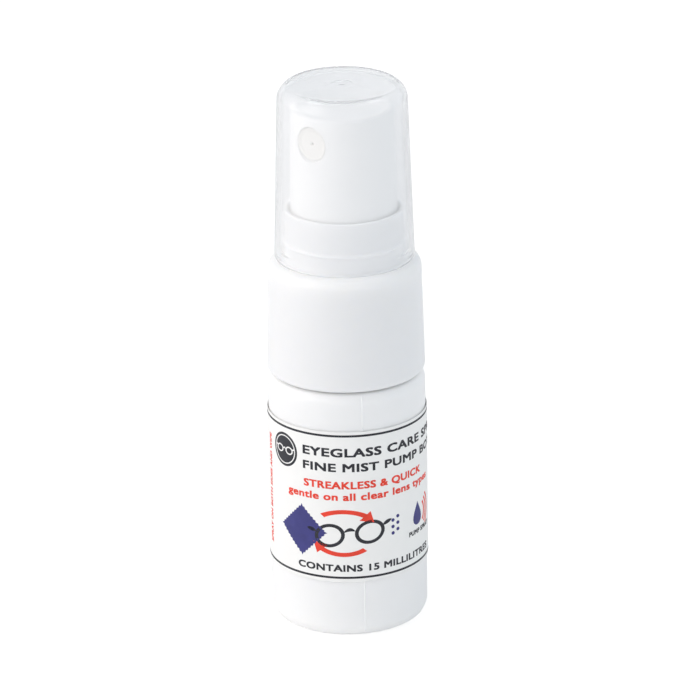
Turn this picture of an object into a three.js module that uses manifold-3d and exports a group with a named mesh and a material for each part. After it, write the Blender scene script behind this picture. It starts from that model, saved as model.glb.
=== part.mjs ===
// A 15 ml fine-mist bottle for lens cleaner: a blow-moulded bottle with a paper label, a screw
// collar that clamps the pump on the neck, the finger pump itself, and a push-fit overcap.
//
// Millimetres, +Z up. The origin is on the bottle's axis, on the plane it stands on. The middle
// of the label faces -Y. Everything except the nozzle is turned about the Z axis.

import * as THREE from "three";
import { mergeVertices } from "three/addons/utils/BufferGeometryUtils.js";
import Module from "manifold-3d";

const wasm = await Module();
wasm.setup();

// ---- driving dimensions -----------------------------------------------------------------

const OUTER_SIDES = 40; // facets round the pieces that show
const INNER_SIDES = 24; // facets round the pump's small pieces

const BODY_R = 12.5;
const BODY_WALL = 0.9;
const SHOULDER_Z = 41.5;
const BODY_CORNER = 2.1;
const PUSH_UP = 1.2; // height of the hollow under the base
const FOOT_IN_R = 8.6; // inner edge of the ring that the bottle stands on

const NECK_R = 7.9;
const NECK_BORE_R = 6.1;
const NECK_TOP_Z = 55.6;

const THREAD_PITCH = 3.175;
const THREAD_CREST_R = 8.9;
const THREAD_ROOT_WIDTH = 1.5;
const THREAD_CREST_WIDTH = 0.9;
const NECK_THREAD_Z = 48.3;
const NECK_THREAD_TURNS = 1.5;
const COLLAR_THREAD_CREST_R = 8.25;
const COLLAR_THREAD_TURNS = 1.25;

const LABEL_IN_R = 12.54;
const LABEL_OUT_R = 12.65;
const LABEL_Z = 9.8;
const LABEL_HEIGHT = 25.4;
const LABEL_LENGTH = 76.2;

const COLLAR_Z = 41.8;
const COLLAR_FOOT_R = 12.43;
const COLLAR_HEAD_R = 11.95;
const COLLAR_WALL = 0.88;
const COLLAR_TOP_Z = 60;
const COLLAR_SHOULDER = 1.8;
const COLLAR_BORE_R = 9.25;
const COLLAR_BORE_WALL = 0.95;
const DECK_TOP_Z = 59.6;
const DECK_UNDER_Z = 58.5;
const DECK_HOLE_R = 4.9;

const SKIRT_R = 9.3;
const SKIRT_BORE_R = 8.7;
const SKIRT_RIM_Z = 68.3;
const SNAP_BEAD_R = 9.7;
const SNAP_BEAD_Z = 63;

const CAP_Z = 60.1;
const CAP_TOP_Z = 88.4;
const CAP_FOOT_R = 10.99;
const CAP_HEAD_R = 10.16;
const CAP_CORNER = 2.8;
const CAP_WALL = 0.9;
const CAP_TOP_WALL = 1;
const CAP_BEAD_R = 9.87;
const CAP_BEAD_Z = 61.3;
const GATE_R = 1.8;
const GATE_DEPTH = 0.2;

const ACTUATOR_Z = 66.8;
const ACTUATOR_TOP_Z = 84.7;
const ACTUATOR_FOOT_R = 8.42;
const ACTUATOR_HEAD_R = 8.05;
const ACTUATOR_WALL = 0.8;
const ACTUATOR_CORNER = 0.65;
const DISH_Z = 83.8;
const CEILING_Z = 82.3;
const SOCKET_BOSS_R = 3;
const SOCKET_Z = 69.5;
const SOCKET_R = 2.05;

const NOZZLE_Z = 80.4;
const NOZZLE_TURN = THREE.MathUtils.degToRad(-145); // direction of the spray, from +X
const NOZZLE_BOSS_R = 3.2;
const NOZZLE_RECESS_R = 2.68;
const NOZZLE_R = 2.6;
const NOZZLE_BACK = 4.75;
const NOZZLE_FACE = 7.6;
const POST_R = 1.1;
const POST_END = 6.8;

const FLANGE_R = 7.6;
const GASKET_IN_R = 4.75;
const GASKET_THICK = 0.8;
const SEAT_GAP = 0.05; // between stacked pieces that press on each other
const FLANGE_THICK = 0.9;

const HOUSING_R = 4.6;
const CHAMBER_R = 3.6;
const SHELF_Z = 41;
const POCKET_R = 1.75;
const INLET_R = 0.85;
const TAIL_Z = 27.5;
const TAIL_R = 2.3;
const TAIL_BORE_R = 1.6;

const DIP_TUBE_R = 1.5;
const DIP_TUBE_BORE_R = 0.9;
const DIP_TUBE_Z = 3;
const DIP_TUBE_TOP_Z = 35.7;

const BALL_R = 1.25;
const BALL_Z = 37.63;

const SPRING_R = 2.45;
const SPRING_WIRE_R = 0.25;
const SPRING_COILS = 5;

const STEM_R = 1.95;
const STEM_BORE_R = 1.05;
const STEM_Z = 50.6;
const STEM_TOP_Z = 76;
const PORT_R = 0.45;
const PORT_Z = 52;
const PLUNGER_HEAD_Z = 49.4;

// ---- shape helpers ----------------------------------------------------------------------

// A quarter arc in the (radius, z) half plane, given its centre and its two angles in degrees.
function arc(r, z, radius, from, to, steps = 5) {
  return Array.from({ length: steps + 1 }, (_, i) => {
    const angle = THREE.MathUtils.degToRad(from + ((to - from) * i) / steps);
    return [r + radius * Math.cos(angle), z + radius * Math.sin(angle)];
  });
}

// Turns an outline of [radius, z] points about the Z axis. The outline runs up its outer side
// and down its inner side. It either starts and ends on the axis or is closed here.
function turned(outline, sides) {
  const points = outline.map(([r, z]) => new THREE.Vector2(r, z));
  const onAxis = outline[0][0] === 0 && outline.at(-1)[0] === 0;
  if (!onAxis) points.push(points[0].clone());
  const geometry = new THREE.LatheGeometry(points, sides);
  geometry.rotateX(Math.PI / 2);
  return geometry;
}

// A closed ring of rectangular section.
function ring(innerR, outerR, z, top, sides) {
  return turned([[innerR, z], [outerR, z], [outerR, top], [innerR, top]], sides);
}

// A solid cylinder on the Z axis.
function rod(radius, z, top, sides) {
  return turned([[0, z], [radius, z], [radius, top], [0, top]], sides);
}

// A solid cylinder that runs outward along the spray direction at height z.
function crossRod(radius, from, to, z, sides = INNER_SIDES) {
  const geometry = rod(radius, from, to, sides);
  geometry.rotateY(Math.PI / 2);
  geometry.rotateZ(NOZZLE_TURN);
  geometry.translate(0, 0, z);
  return geometry;
}

// A screw thread: a four-sided section carried up a right-hand helix, fading out at both ends.
// The section's points run anticlockwise in the (radius, z) half plane, and its crest, at
// crestR, shrinks to rootR where the thread fades.
function thread(section, crestR, rootR, z, turns) {
  const stepsPerTurn = 32;
  const fadeSteps = 3;
  const steps = Math.round(turns * stepsPerTurn);
  const positions = [];
  const indices = [];
  for (let i = 0; i <= steps; i += 1) {
    const angle = (i / stepsPerTurn) * 2 * Math.PI;
    const fade = Math.min(1, (Math.min(i, steps - i) + 0.5) / fadeSteps);
    for (const [r, dz] of section) {
      const faded = r === crestR ? rootR + (crestR - rootR) * fade : r;
      const height = z + (i / stepsPerTurn) * THREAD_PITCH + dz;
      positions.push(faded * Math.cos(angle), faded * Math.sin(angle), height);
    }
  }
  for (let i = 0; i < steps; i += 1) {
    for (let k = 0; k < 4; k += 1) {
      const a = i * 4 + k;
      const b = i * 4 + ((k + 1) % 4);
      indices.push(a, a + 4, b + 4, a, b + 4, b);
    }
  }
  const last = steps * 4;
  indices.push(0, 1, 2, 0, 2, 3);
  indices.push(last, last + 2, last + 1, last, last + 3, last + 2);
  const geometry = new THREE.BufferGeometry();
  geometry.setAttribute("position", new THREE.Float32BufferAttribute(positions, 3));
  geometry.setIndex(indices);
  return geometry;
}

// A boolean solid made from a closed geometry.
function solid(geometry) {
  const bare = geometry.clone();
  bare.deleteAttribute("normal");
  bare.deleteAttribute("uv");
  const merged = mergeVertices(bare, 1e-4);
  const triangles = [];
  const index = merged.index.array;
  for (let i = 0; i < index.length; i += 3) {
    const [a, b, c] = [index[i], index[i + 1], index[i + 2]];
    if (a !== b && b !== c && c !== a) triangles.push(a, b, c);
  }
  const vertProperties = new Float32Array(merged.attributes.position.array);
  const triVerts = new Uint32Array(triangles);
  return new wasm.Manifold(new wasm.Mesh({ numProp: 3, vertProperties, triVerts }));
}

// The geometry of a boolean solid.
function surface(manifold) {
  const mesh = manifold.getMesh();
  const geometry = new THREE.BufferGeometry();
  geometry.setAttribute("position", new THREE.BufferAttribute(mesh.vertProperties, 3));
  geometry.setIndex(new THREE.BufferAttribute(mesh.triVerts, 1));
  geometry.computeVertexNormals();
  return geometry;
}

// ---- materials --------------------------------------------------------------------------

function finish(color, roughness, metalness = 0) {
  return new THREE.MeshStandardMaterial({ color, roughness, metalness });
}

const whiteHdpe = finish(0xf3f5f6, 0.42);
const whitePp = finish(0xf6f7f8, 0.35);
const naturalPp = finish(0xe6eaec, 0.3);
const ivoryPp = finish(0xf1ead8, 0.4);
const naturalPe = finish(0xe9ecea, 0.45);
const paper = finish(0xfbfbfa, 0.6);
const rubber = finish(0x4a4b4d, 0.8);
const steel = finish(0xb9bcc0, 0.3, 1);

// ---- bottle and label -------------------------------------------------------------------

function bottle() {
  const inner = BODY_R - BODY_WALL;
  const cornerR = BODY_R - BODY_CORNER;
  const innerCorner = BODY_CORNER - 0.3;
  const outline = [
    [0, PUSH_UP],
    [FOOT_IN_R - 2.2, PUSH_UP - 0.45],
    [FOOT_IN_R, 0],
    ...arc(cornerR, BODY_CORNER, BODY_CORNER, -90, 0),
    ...arc(cornerR, SHOULDER_Z - BODY_CORNER, BODY_CORNER, 0, 90),
    [NECK_R + 0.4, SHOULDER_Z],
    [NECK_R, SHOULDER_Z + 0.4],
    [NECK_R, NECK_TOP_Z - 0.4],
    [NECK_R - 0.4, NECK_TOP_Z],
    [NECK_BORE_R, NECK_TOP_Z],
    [NECK_BORE_R, SHOULDER_Z + 0.6],
    [NECK_BORE_R + 1, SHOULDER_Z - BODY_WALL],
    ...arc(inner - innerCorner, SHOULDER_Z - BODY_WALL - innerCorner, innerCorner, 90, 0, 3),
    ...arc(inner - innerCorner, BODY_WALL + innerCorner + 0.3, innerCorner, 0, -90, 3),
    [FOOT_IN_R - 2.2, PUSH_UP + BODY_WALL - 0.35],
    [0, PUSH_UP + BODY_WALL],
  ];
  const halfRoot = THREAD_ROOT_WIDTH / 2;
  const halfCrest = THREAD_CREST_WIDTH / 2;
  const sunkR = NECK_R - 0.4;
  const section = [
    [sunkR, -halfRoot],
    [THREAD_CREST_R, -halfCrest],
    [THREAD_CREST_R, halfCrest],
    [sunkR, halfRoot],
  ];
  const ridge = thread(section, THREAD_CREST_R, NECK_R, NECK_THREAD_Z, NECK_THREAD_TURNS);
  return surface(solid(turned(outline, OUTER_SIDES)).add(solid(ridge)));
}

// A three-inch by one-inch label wrapped round the body. Its two ends leave a narrow gap at
// the back.
function label() {
  const halfAngle = LABEL_LENGTH / BODY_R / 2;
  const middle = -Math.PI / 2;
  const shape = new THREE.Shape();
  const steps = OUTER_SIDES;
  const pitch = (2 * Math.PI) / OUTER_SIDES;
  const angles = [middle - halfAngle];
  for (let k = -steps; k <= steps; k += 1) {
    const angle = k * pitch;
    if (Math.abs(angle - middle) < halfAngle - 0.01) angles.push(angle);
  }
  angles.push(middle + halfAngle);
  const at = (r, angle) => [r * Math.cos(angle), r * Math.sin(angle)];
  shape.moveTo(...at(LABEL_OUT_R, angles[0]));
  angles.slice(1).forEach((angle) => shape.lineTo(...at(LABEL_OUT_R, angle)));
  [...angles].reverse().forEach((angle) => shape.lineTo(...at(LABEL_IN_R, angle)));
  shape.closePath();
  const geometry = new THREE.ExtrudeGeometry(shape, { depth: LABEL_HEIGHT, bevelEnabled: false });
  geometry.translate(0, 0, LABEL_Z);
  return geometry;
}

// ---- collar and overcap -----------------------------------------------------------------

// The collar is one moulding: a smooth outer shell, a threaded inner wall, the deck that clamps
// the pump, and the skirt that guides the actuator and holds the overcap.
function screwCollar() {
  const foot = 0.68;
  const shoulderZ = COLLAR_TOP_Z - COLLAR_SHOULDER;
  const boreFootZ = COLLAR_Z + 1.1;
  const hollowTopZ = COLLAR_TOP_Z - 2.8;
  const boreOuterR = COLLAR_BORE_R + COLLAR_BORE_WALL;
  const beadRise = SNAP_BEAD_R - SKIRT_R;
  const outline = [
    [COLLAR_FOOT_R - COLLAR_WALL, COLLAR_Z],
    ...arc(COLLAR_FOOT_R - foot, COLLAR_Z + foot, foot, -90, 0, 4),
    ...arc(COLLAR_HEAD_R - COLLAR_SHOULDER, shoulderZ, COLLAR_SHOULDER, 0, 90),
    [SKIRT_R, COLLAR_TOP_Z],
    [SKIRT_R, SNAP_BEAD_Z - beadRise],
    [SNAP_BEAD_R, SNAP_BEAD_Z],
    [SKIRT_R, SNAP_BEAD_Z + beadRise],
    [SKIRT_R - 0.08, SKIRT_RIM_Z - 0.2],
    [SKIRT_R - 0.25, SKIRT_RIM_Z],
    [SKIRT_BORE_R + 0.1, SKIRT_RIM_Z],
    [SKIRT_BORE_R, SKIRT_RIM_Z - 0.2],
    [SKIRT_BORE_R, DECK_TOP_Z],
    [DECK_HOLE_R, DECK_TOP_Z],
    [DECK_HOLE_R, DECK_UNDER_Z],
    [COLLAR_BORE_R, DECK_UNDER_Z],
    [COLLAR_BORE_R, boreFootZ],
    [boreOuterR, boreFootZ],
    [boreOuterR, hollowTopZ],
    [COLLAR_HEAD_R - COLLAR_WALL, hollowTopZ],
  ];
  const halfRoot = THREAD_ROOT_WIDTH / 2;
  const halfCrest = THREAD_CREST_WIDTH / 2;
  const sunkR = COLLAR_BORE_R + 0.4;
  const section = [
    [COLLAR_THREAD_CREST_R, -halfCrest],
    [sunkR, -halfRoot],
    [sunkR, halfRoot],
    [COLLAR_THREAD_CREST_R, halfCrest],
  ];
  const threadZ = NECK_THREAD_Z - THREAD_PITCH / 2;
  const ridge = thread(
    section, COLLAR_THREAD_CREST_R, COLLAR_BORE_R, threadZ, COLLAR_THREAD_TURNS,
  );
  return surface(solid(turned(outline, OUTER_SIDES)).add(solid(ridge)));
}

function overcap() {
  const cornerZ = CAP_TOP_Z - CAP_CORNER;
  const slope = (CAP_FOOT_R - CAP_HEAD_R) / (cornerZ - CAP_Z);
  const innerAt = (z) => CAP_FOOT_R - CAP_WALL - slope * (z - CAP_Z);
  const innerCorner = CAP_CORNER - CAP_WALL;
  const innerCornerZ = CAP_TOP_Z - CAP_TOP_WALL - innerCorner;
  const beadHalf = 0.5;
  return turned([
    [0, CAP_TOP_Z - CAP_TOP_WALL],
    ...arc(innerAt(innerCornerZ) - innerCorner, innerCornerZ, innerCorner, 90, 0, 3),
    [innerAt(CAP_BEAD_Z + beadHalf), CAP_BEAD_Z + beadHalf],
    [CAP_BEAD_R, CAP_BEAD_Z],
    [innerAt(CAP_BEAD_Z - beadHalf), CAP_BEAD_Z - beadHalf],
    [innerAt(CAP_Z), CAP_Z],
    [CAP_FOOT_R - 0.15, CAP_Z],
    [CAP_FOOT_R, CAP_Z + 0.15],
    ...arc(CAP_HEAD_R - CAP_CORNER, cornerZ, CAP_CORNER, 0, 90),
    [GATE_R, CAP_TOP_Z],
    [GATE_R - 0.2, CAP_TOP_Z - GATE_DEPTH],
    [0, CAP_TOP_Z - GATE_DEPTH],
  ], OUTER_SIDES);
}

// ---- actuator and nozzle ----------------------------------------------------------------

function actuator() {
  const cornerR = ACTUATOR_HEAD_R - ACTUATOR_CORNER;
  const shell = turned([
    [0, CEILING_Z],
    [ACTUATOR_HEAD_R - ACTUATOR_WALL - 0.4, CEILING_Z],
    [ACTUATOR_HEAD_R - ACTUATOR_WALL, CEILING_Z - 0.4],
    [ACTUATOR_FOOT_R - ACTUATOR_WALL, ACTUATOR_Z],
    [ACTUATOR_FOOT_R, ACTUATOR_Z],
    ...arc(cornerR, ACTUATOR_TOP_Z - ACTUATOR_CORNER, ACTUATOR_CORNER, 0, 90, 3),
    [cornerR - 1.2, DISH_Z + 0.35],
    [0, DISH_Z],
  ], OUTER_SIDES);
  const channelR = 0.45;
  const channelZ = NOZZLE_Z + 1.8;
  const recess = solid(crossRod(NOZZLE_RECESS_R, NOZZLE_BACK - 0.15, BODY_R, NOZZLE_Z));
  const post = solid(crossRod(POST_R, 0, POST_END, NOZZLE_Z));
  const socketTop = STEM_TOP_Z + 0.2;
  return surface(
    solid(shell)
      .add(solid(rod(SOCKET_BOSS_R, SOCKET_Z, CEILING_Z + 0.5, INNER_SIDES)))
      .add(solid(crossRod(NOZZLE_BOSS_R, 0, ACTUATOR_HEAD_R - 0.5, NOZZLE_Z)))
      .subtract(recess.subtract(post))
      .subtract(solid(rod(SOCKET_R, SOCKET_Z - 1, socketTop, INNER_SIDES)))
      .subtract(solid(rod(channelR, socketTop - 1, channelZ, 8)))
      .subtract(solid(crossRod(channelR, -0.3, NOZZLE_BACK + 0.4, channelZ, 8))),
  );
}

// The swirl insert: a small cup pushed over the actuator's post, with the spray orifice in its
// face.
function nozzleInsert() {
  const cupEnd = POST_END + 0.15;
  const orificeR = 0.25;
  const geometry = turned([
    [POST_R + 0.15, NOZZLE_BACK],
    [NOZZLE_R, NOZZLE_BACK],
    [NOZZLE_R, NOZZLE_FACE - 0.2],
    [NOZZLE_R - 0.2, NOZZLE_FACE],
    [orificeR + 0.7, NOZZLE_FACE],
    [orificeR, NOZZLE_FACE - 0.3],
    [orificeR, cupEnd],
    [POST_R + 0.15, cupEnd],
  ], INNER_SIDES);
  geometry.rotateY(Math.PI / 2);
  geometry.rotateZ(NOZZLE_TURN);
  geometry.translate(0, 0, NOZZLE_Z);
  return geometry;
}

// ---- pump -------------------------------------------------------------------------------

const gasketZ = NECK_TOP_Z + SEAT_GAP;
const housingFlangeZ = gasketZ + GASKET_THICK + SEAT_GAP;
const chapletFlangeZ = housingFlangeZ + FLANGE_THICK + SEAT_GAP;

function gasket() {
  return ring(GASKET_IN_R, FLANGE_R + 0.1, gasketZ, gasketZ + GASKET_THICK, INNER_SIDES);
}

function pumpHousing() {
  const lipR = 1.15;
  const lipZ = SHELF_Z - 1.8;
  return turned([
    [TAIL_BORE_R, TAIL_Z],
    [TAIL_R, TAIL_Z],
    [TAIL_R, TAIL_Z + 7.5],
    [HOUSING_R, TAIL_Z + 10],
    [HOUSING_R, housingFlangeZ],
    [FLANGE_R, housingFlangeZ],
    [FLANGE_R, housingFlangeZ + FLANGE_THICK],
    [CHAMBER_R, housingFlangeZ + FLANGE_THICK],
    [CHAMBER_R, SHELF_Z],
    [POCKET_R, SHELF_Z],
    [POCKET_R, lipZ + 0.4],
    [lipR, lipZ + 0.4],
    [lipR, lipZ],
    [POCKET_R, lipZ],
    [POCKET_R, SHELF_Z - 3],
    [INLET_R, SHELF_Z - 4.4],
    [INLET_R, DIP_TUBE_TOP_Z + 0.1],
    [TAIL_BORE_R, DIP_TUBE_TOP_Z + 0.1],
  ], INNER_SIDES);
}

// The chaplet closes the housing: its plug stops the piston and its turret guides the stem.
function chaplet() {
  const plugR = CHAMBER_R - 0.15;
  const plugZ = chapletFlangeZ - 2.85;
  const turretR = 3.9;
  const turretBoreR = 2.8;
  const turretTopZ = 64.3;
  const guideR = STEM_R + 0.25;
  return turned([
    [turretBoreR, plugZ],
    [plugR, plugZ],
    [plugR, chapletFlangeZ],
    [FLANGE_R, chapletFlangeZ],
    [FLANGE_R, chapletFlangeZ + FLANGE_THICK],
    [turretR, chapletFlangeZ + FLANGE_THICK],
    [turretR, turretTopZ - 0.3],
    [turretR - 0.3, turretTopZ],
    [guideR, turretTopZ],
    [guideR, turretTopZ - 1],
    [turretBoreR, turretTopZ - 1],
  ], INNER_SIDES);
}

function checkBall() {
  const geometry = new THREE.SphereGeometry(BALL_R, 16, 10);
  geometry.rotateX(Math.PI / 2);
  geometry.translate(0, 0, BALL_Z);
  return geometry;
}

// A coil spring from the shelf in the housing to the underside of the plunger's head.
class Coil extends THREE.Curve {
  getPoint(t, target = new THREE.Vector3()) {
    const bottom = SHELF_Z + SEAT_GAP + SPRING_WIRE_R;
    const top = PLUNGER_HEAD_Z - SEAT_GAP - SPRING_WIRE_R;
    const angle = 2 * Math.PI * SPRING_COILS * t;
    const [x, y] = [SPRING_R * Math.cos(angle), SPRING_R * Math.sin(angle)];
    return target.set(x, y, bottom + (top - bottom) * t);
  }
}

function returnSpring() {
  const wireSides = 6;
  const section = new THREE.Shape();
  for (let k = 0; k < wireSides; k += 1) {
    const angle = (2 * Math.PI * k) / wireSides;
    const point = [SPRING_WIRE_R * Math.cos(angle), SPRING_WIRE_R * Math.sin(angle)];
    if (k === 0) section.moveTo(...point);
    else section.lineTo(...point);
  }
  section.closePath();
  const stepsPerCoil = 14;
  const steps = SPRING_COILS * stepsPerCoil;
  return new THREE.ExtrudeGeometry(section, { steps, extrudePath: new Coil() });
}

// The plunger: its head pushes the piston up, its spigot keeps the spring in line, and its
// short pin joins it to the stem.
function lowerStem() {
  const spigotR = 1.9;
  const headR = 2.9;
  const headTopZ = STEM_Z - 0.1;
  return turned([
    [0, PLUNGER_HEAD_Z - 3.4],
    [spigotR - 0.2, PLUNGER_HEAD_Z - 3.4],
    [spigotR, PLUNGER_HEAD_Z - 3],
    [spigotR, PLUNGER_HEAD_Z],
    [headR, PLUNGER_HEAD_Z],
    [headR, headTopZ - 0.4],
    [headR - 0.3, headTopZ],
    [STEM_BORE_R - 0.05, headTopZ],
    [STEM_BORE_R - 0.05, headTopZ + 0.9],
    [0, headTopZ + 0.9],
  ], INNER_SIDES);
}

// The piston: a sleeve on the stem with an upper and a lower sealing lip.
function piston() {
  const boreR = STEM_R + 0.1;
  const lipR = CHAMBER_R - 0.1;
  const waistR = lipR - 0.35;
  return turned([
    [boreR, STEM_Z],
    [boreR + 0.5, STEM_Z],
    [boreR + 0.7, STEM_Z + 0.6],
    [waistR, STEM_Z + 0.3],
    [lipR, STEM_Z + 0.3],
    [lipR, STEM_Z + 0.7],
    [waistR, STEM_Z + 1.4],
    [waistR, STEM_Z + 2.6],
    [lipR, STEM_Z + 3.3],
    [lipR, STEM_Z + 3.6],
    [waistR, STEM_Z + 3.6],
    [waistR - 0.2, STEM_Z + 3.2],
    [boreR + 0.5, STEM_Z + 3.2],
    [boreR + 0.5, STEM_Z + 3.6],
    [boreR, STEM_Z + 3.6],
  ], INNER_SIDES);
}

function upperStem() {
  const shoulderR = 2.5;
  const shoulderZ = 55.3;
  const shoulderThick = 0.9;
  const tube = turned([
    [STEM_BORE_R, STEM_Z],
    [STEM_R, STEM_Z],
    [STEM_R, shoulderZ],
    [shoulderR, shoulderZ],
    [shoulderR, shoulderZ + shoulderThick],
    [STEM_R, shoulderZ + shoulderThick],
    [STEM_R, STEM_TOP_Z - 0.3],
    [STEM_R - 0.2, STEM_TOP_Z],
    [STEM_BORE_R, STEM_TOP_Z],
  ], INNER_SIDES);
  const port = rod(PORT_R, -STEM_R - 1, STEM_R + 1, 8);
  port.rotateY(Math.PI / 2);
  port.translate(0, 0, PORT_Z);
  return surface(solid(tube).subtract(solid(port)));
}

function dipTube() {
  return ring(DIP_TUBE_BORE_R, DIP_TUBE_R, DIP_TUBE_Z, DIP_TUBE_TOP_Z, 16);
}

// ---- assembly ---------------------------------------------------------------------------

const pieces = {
  bottle: [bottle, whiteHdpe],
  label: [label, paper],
  screw_collar: [screwCollar, whitePp],
  overcap: [overcap, naturalPp],
  actuator: [actuator, whitePp],
  nozzle_insert: [nozzleInsert, ivoryPp],
  gasket: [gasket, rubber],
  chaplet: [chaplet, whitePp],
  pump_housing: [pumpHousing, naturalPp],
  dip_tube: [dipTube, naturalPe],
  check_ball: [checkBall, steel],
  return_spring: [returnSpring, steel],
  piston: [piston, naturalPe],
  lower_stem: [lowerStem, whitePp],
  upper_stem: [upperStem, whitePp],
};

const assembly = new THREE.Group();
for (const [name, [shape, material]] of Object.entries(pieces)) {
  const mesh = new THREE.Mesh(shape(), material);
  mesh.name = name;
  assembly.add(mesh);
}

export default assembly;
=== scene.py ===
"""Looks for the lens cleaner bottle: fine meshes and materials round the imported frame.

The pieces are drawn in millimetres, with the bottle's axis on Z and the middle of the label
facing -Y, and are scaled to metres as their meshes are made.
"""

import math

import bmesh
import bpy
from mathutils import Matrix, Vector


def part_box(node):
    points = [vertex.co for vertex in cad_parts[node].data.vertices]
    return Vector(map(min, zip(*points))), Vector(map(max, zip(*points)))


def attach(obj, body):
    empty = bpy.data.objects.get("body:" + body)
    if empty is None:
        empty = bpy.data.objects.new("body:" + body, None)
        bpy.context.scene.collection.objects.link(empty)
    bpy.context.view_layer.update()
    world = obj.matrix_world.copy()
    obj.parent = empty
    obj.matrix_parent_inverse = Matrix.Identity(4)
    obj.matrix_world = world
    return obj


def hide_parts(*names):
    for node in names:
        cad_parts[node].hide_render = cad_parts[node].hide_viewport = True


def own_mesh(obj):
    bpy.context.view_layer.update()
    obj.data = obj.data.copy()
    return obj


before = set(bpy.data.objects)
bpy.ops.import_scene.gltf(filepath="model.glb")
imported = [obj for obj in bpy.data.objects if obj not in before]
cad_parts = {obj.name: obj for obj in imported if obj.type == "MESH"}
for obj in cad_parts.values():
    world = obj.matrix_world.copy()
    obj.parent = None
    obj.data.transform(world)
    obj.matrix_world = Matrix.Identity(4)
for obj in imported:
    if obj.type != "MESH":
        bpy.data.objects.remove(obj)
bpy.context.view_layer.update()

MM = 0.001
FULL_TURN = 2 * math.pi


def extent(node):
    """A node's largest radius and its lowest and highest z, in millimetres."""
    low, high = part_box(node)
    return high.x / MM, low.z / MM, high.z / MM


# ---- sizes, in millimetres ----------------------------------------------------------------

BODY_R, _, NECK_TOP = extent("bottle")
_, LABEL_Z, LABEL_TOP = extent("label")
COLLAR_R, COLLAR_Z, SKIRT_TOP = extent("screw_collar")
CAP_R, CAP_Z, CAP_TOP = extent("overcap")
BUTTON_R, BUTTON_Z, BUTTON_TOP = extent("actuator")
FLANGE_R, TAIL_Z, HOUSING_TOP = extent("pump_housing")
CHAPLET_R, PLUG_Z, TURRET_TOP = extent("chaplet")
GASKET_R, GASKET_Z, GASKET_TOP = extent("gasket")
TUBE_R, TUBE_Z, TUBE_TOP = extent("dip_tube")
PISTON_R, PISTON_Z, PISTON_TOP = extent("piston")
PLUNGER_R, SPIGOT_Z, PIN_TOP = extent("lower_stem")
STEM_SHOULDER_R, STEM_Z, STEM_TOP = extent("upper_stem")
SPRING_R, SPRING_Z, SPRING_TOP = extent("return_spring")
BALL_R, BALL_Z, BALL_TOP = extent("check_ball")

SHOULDER_Z = 41.5
BODY_WALL = 0.9
BODY_CORNER = 2.1
PUSH_UP = 1.2
FOOT_IN_R = 8.6
NECK_R = 7.9
NECK_BORE_R = 6.1

THREAD_PITCH = 3.175
THREAD_ROOT = 1.5
THREAD_CREST = 0.9
THREAD_DEPTH = 1.0
NECK_THREAD_Z = 48.3
NECK_THREAD_TURNS = 1.5
COLLAR_THREAD_TURNS = 1.25
NECK_WALL_Z, NECK_WALL_TOP = 46.5, 54.4  # the straight walls that carry the threads
COLLAR_WALL_Z, COLLAR_WALL_TOP = 45.2, 54.2
WALL_MARGIN = 0.2
WALL_STEP = 0.15

SEAM_ANGLES = (math.radians(-96), math.radians(84))
SEAM_HALF_WIDTH = 0.13
SEAM_HEIGHT = 0.11

COLLAR_TOP = 60.0
FOOT_DROP = 0.24
COLLAR_HEAD_R = 11.95
COLLAR_BORE_R = 9.25
DECK_TOP = 59.6
DECK_UNDER = 58.5
DECK_HOLE_R = 4.9
SKIRT_R = 9.3
SKIRT_BORE_R = 8.7
SNAP_Z = 63.0
SNAP_R = 9.68

CAP_HEAD_R = 10.16
CAP_CORNER = 2.8
CAP_WALL = 0.9
CAP_BEAD_Z = 61.3
CAP_BEAD_R = 9.87
TOP_EDGE_R = 8.6
TOP_STEP = 0.04
GATE_R = 1.8
GATE_DEPTH = 0.07

BUTTON_HEAD_R = 8.05
BUTTON_WALL = 0.8
DISH_Z = 83.8
CEILING_Z = 82.3
SOCKET_Z = 69.5
SOCKET_R = 2.05
BOSS_R = 3.0
LUG_R = 3.2
FEED_R = 0.45
FEED_Z = 82.2

NOZZLE_TURN = math.radians(-145)
NOZZLE_Z = 80.4
NOZZLE_R = 2.6
NOZZLE_BACK = 4.75
NOZZLE_FACE = 7.6
NOZZLE_GAP = 0.015
RIM_RISE = 0.1
ORIFICE_R = 0.15
POST_R = 1.1
POST_END = 6.8

STEM_R = 1.95
STEM_BORE_R = 1.05
CHAMBER_R = 3.6
SHELF_Z = 41.0
HOUSING_R = 4.6
TAIL_R = 2.3
INLET_R = 1.6
BALL_POCKET_R = 1.75
BALL_LIP_R = 1.15
TURRET_R = 3.9
FLANGE = 0.9  # thickness of the flanges that the collar clamps

PAPER_IN_R = 12.54
PAPER_OUT_R = 12.6
LABEL_LENGTH = 76.2
INK = 0.014  # thickness of one printed layer
LETTER_SPACING = 1.06

# ---- mesh helpers -------------------------------------------------------------------------


def new_object(name, mesh):
    piece = bpy.data.objects.new(name, mesh)
    bpy.context.scene.collection.objects.link(piece)
    return piece


SHARP = 35  # degrees: steeper edges than this stay crisp


def finished(name, bm, sharp=SHARP):
    """Turns a bmesh in millimetres into a smooth-shaded object in metres."""
    bmesh.ops.recalc_face_normals(bm, faces=bm.faces)
    bm.transform(Matrix.Scale(MM, 4))
    for face in bm.faces:
        face.smooth = True
    mesh = bpy.data.meshes.new(name)
    bm.to_mesh(mesh)
    bm.free()
    mesh.set_sharp_from_angle(angle=math.radians(sharp))
    return new_object(name, mesh)


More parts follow.
